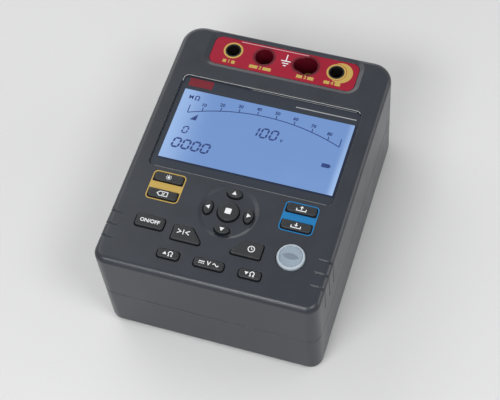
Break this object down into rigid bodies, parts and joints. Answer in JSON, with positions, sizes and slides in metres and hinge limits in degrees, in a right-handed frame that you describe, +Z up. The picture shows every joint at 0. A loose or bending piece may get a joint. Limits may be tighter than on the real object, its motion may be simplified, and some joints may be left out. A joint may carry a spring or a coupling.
{
  "type": "insulation resistance tester",
  "caption": "Portable insulation resistance tester: two-part case, large LCD, rubber keypad with round test button, red terminal panel with plug sockets, battery bay and tilt stand.",
  "frame": {"origin": "centre of the rectangle under the four feet, on the surface the tester lies on", "axes": "+X to the right of the face, +Y along the face towards the terminals, +Z up out of the face"},
  "size_m": [0.155, 0.202, 0.094],
  "materials": {
    "case_plastic": "fine moulded grain",
    "screw_steel": "zinc plated",
    "panel_red": "satin",
    "socket_black": "semi-gloss",
    "contact_brass": "turned",
    "board_laminate": "solder mask",
    "lens_clear": "clear with a dark printed border",
    "lcd_glass": "blue-lit display",
    "backlight_white": "diffuse",
    "mat_silicone": "matte",
    "key_rubber": "matte silicone",
    "test_plastic": "satin",
    "ferrite": "sintered",
    "copper": "enamelled wire",
    "can_sleeve": "shrink sleeve",
    "relay_plastic": "moulded",
    "black_plastic": "moulded",
    "cell_can": "sleeved can",
    "spring_steel": "nickel plated",
    "foot_rubber": "matte"
  },
  "bodies": {
    "case": {"front_case": "case_plastic", "rear_case": "case_plastic", "battery_cover": "case_plastic", "case_screws": "screw_steel", "board_screws": "screw_steel", "cover_screws": "screw_steel", "terminal_panel": "panel_red", "socket_2": "panel_red", "socket_3": "panel_red", "socket_1": "socket_black", "socket_4": "socket_black", "contact_1": "contact_brass", "contact_2": "contact_brass", "contact_3": "contact_brass", "contact_4": "contact_brass", "terminal_board": "board_laminate", "main_board": "board_laminate", "display_lens": "lens_clear", "lcd_panel": "lcd_glass", "backlight": "backlight_white", "keypad_mat": "mat_silicone", "transformer_core": "ferrite", "transformer_winding": "copper", "capacitors": "can_sleeve", "relays": "relay_plastic", "buzzer": "black_plastic", "controller_chip": "black_plastic", "cell_1": "cell_can", "cell_2": "cell_can", "cell_3": "cell_can", "cell_4": "cell_can", "cell_5": "cell_can", "cell_6": "cell_can", "cell_7": "cell_can", "cell_8": "cell_can", "upper_contacts": "spring_steel", "lower_contacts": "spring_steel", "foot_low_left": "foot_rubber", "foot_low_right": "foot_rubber", "foot_high_left": "foot_rubber", "foot_high_right": "foot_rubber"},
    "light_key_body": {"light_key": "key_rubber"},
    "clear_key_body": {"clear_key": "key_rubber"},
    "load_key_body": {"load_key": "key_rubber"},
    "save_key_body": {"save_key": "key_rubber"},
    "up_key_body": {"up_key": "key_rubber"},
    "down_key_body": {"down_key": "key_rubber"},
    "left_key_body": {"left_key": "key_rubber"},
    "right_key_body": {"right_key": "key_rubber"},
    "stop_key_body": {"stop_key": "key_rubber"},
    "power_key_body": {"power_key": "key_rubber"},
    "compare_key_body": {"compare_key": "key_rubber"},
    "timer_key_body": {"timer_key": "key_rubber"},
    "insulation_key_body": {"insulation_key": "key_rubber"},
    "voltage_key_body": {"voltage_key": "key_rubber"},
    "low_ohm_key_body": {"low_ohm_key": "key_rubber"},
    "test_button_body": {"test_button": "test_plastic"},
    "stand_body": {"stand": "case_plastic"}
  },
  "joints": [
    {"name": "light_key_press", "type": "slide", "parent": "case", "child": "light_key_body", "axis": [0, 0, -1], "range_m": [0, 0.001], "stiffness_N_per_m": 900, "springref_m": -0.0005},
    {"name": "clear_key_press", "type": "slide", "parent": "case", "child": "clear_key_body", "axis": [0, 0, -1], "range_m": [0, 0.001], "stiffness_N_per_m": 900, "springref_m": -0.0005},
    {"name": "load_key_press", "type": "slide", "parent": "case", "child": "load_key_body", "axis": [0, 0, -1], "range_m": [0, 0.001], "stiffness_N_per_m": 900, "springref_m": -0.0005},
    {"name": "save_key_press", "type": "slide", "parent": "case", "child": "save_key_body", "axis": [0, 0, -1], "range_m": [0, 0.001], "stiffness_N_per_m": 900, "springref_m": -0.0005},
    {"name": "up_key_press", "type": "slide", "parent": "case", "child": "up_key_body", "axis": [0, 0, -1], "range_m": [0, 0.001], "stiffness_N_per_m": 900, "springref_m": -0.0005},
    {"name": "down_key_press", "type": "slide", "parent": "case", "child": "down_key_body", "axis": [0, 0, -1], "range_m": [0, 0.001], "stiffness_N_per_m": 900, "springref_m": -0.0005},
    {"name": "left_key_press", "type": "slide", "parent": "case", "child": "left_key_body", "axis": [0, 0, -1], "range_m": [0, 0.001], "stiffness_N_per_m": 900, "springref_m": -0.0005},
    {"name": "right_key_press", "type": "slide", "parent": "case", "child": "right_key_body", "axis": [0, 0, -1], "range_m": [0, 0.001], "stiffness_N_per_m": 900, "springref_m": -0.0005},
    {"name": "stop_key_press", "type": "slide", "parent": "case", "child": "stop_key_body", "axis": [0, 0, -1], "range_m": [0, 0.001], "stiffness_N_per_m": 900, "springref_m": -0.0005},
    {"name": "power_key_press", "type": "slide", "parent": "case", "child": "power_key_body", "axis": [0, 0, -1], "range_m": [0, 0.001], "stiffness_N_per_m": 900, "springref_m": -0.0005},
    {"name": "compare_key_press", "type": "slide", "parent": "case", "child": "compare_key_body", "axis": [0, 0, -1], "range_m": [0, 0.001], "stiffness_N_per_m": 900, "springref_m": -0.0005},
    {"name": "timer_key_press", "type": "slide", "parent": "case", "child": "timer_key_body", "axis": [0, 0, -1], "range_m": [0, 0.001], "stiffness_N_per_m": 900, "springref_m": -0.0005},
    {"name": "insulation_key_press", "type": "slide", "parent": "case", "child": "insulation_key_body", "axis": [0, 0, -1], "range_m": [0, 0.001], "stiffness_N_per_m": 900, "springref_m": -0.0005},
    {"name": "voltage_key_press", "type": "slide", "parent": "case", "child": "voltage_key_body", "axis": [0, 0, -1], "range_m": [0, 0.001], "stiffness_N_per_m": 900, "springref_m": -0.0005},
    {"name": "low_ohm_key_press", "type": "slide", "parent": "case", "child": "low_ohm_key_body", "axis": [0, 0, -1], "range_m": [0, 0.001], "stiffness_N_per_m": 900, "springref_m": -0.0005},
    {"name": "test_button_press", "type": "slide", "parent": "case", "child": "test_button_body", "axis": [0, 0, -1], "range_m": [0, 0.001], "stiffness_N_per_m": 1500, "springref_m": -0.0005},
    {"name": "stand_hinge", "type": "hinge", "parent": "case", "child": "stand_body", "pos_m": [0, 0.047, 0.00465], "axis": [-1, 0, 0], "range_deg": [0, 90]}
  ]
}
